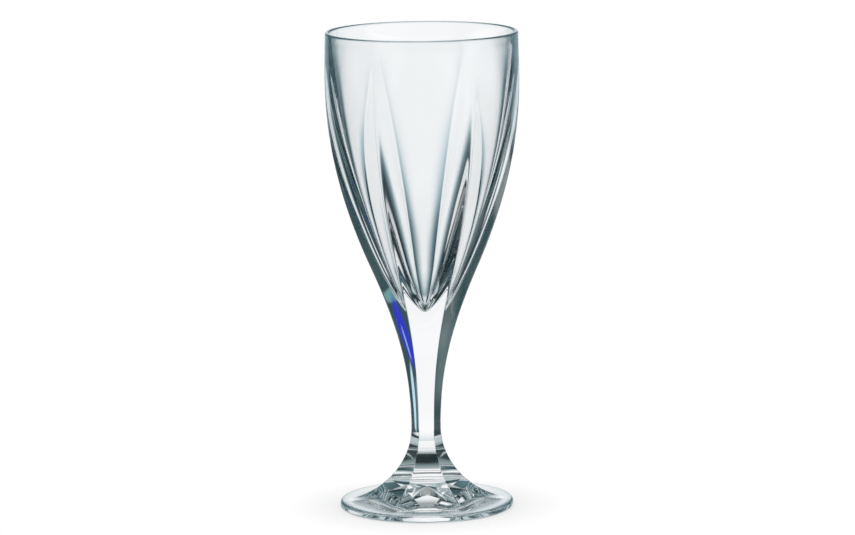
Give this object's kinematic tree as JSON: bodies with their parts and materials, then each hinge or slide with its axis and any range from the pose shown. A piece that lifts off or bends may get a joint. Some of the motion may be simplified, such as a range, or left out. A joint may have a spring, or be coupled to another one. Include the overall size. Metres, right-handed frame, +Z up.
{
  "type": "wine glass",
  "caption": "Crystal wine glass: a tapered bowl with flat panels that melt into a round rim, a faceted stem and a round foot with a star cut beneath.",
  "frame": {"origin": "centre of the ring that the glass rests on", "axes": "+Z up along the stem to the rim; panels face -Y and +Y, and two of the ridges lie along X"},
  "size_m": [0.0746, 0.0742, 0.185],
  "materials": {
    "crystal": "clear polished crystal with a faint cool tint"
  },
  "bodies": {
    "root": {"bowl": "crystal", "stem": "crystal", "foot": "crystal"}
  },
  "joints": []
}
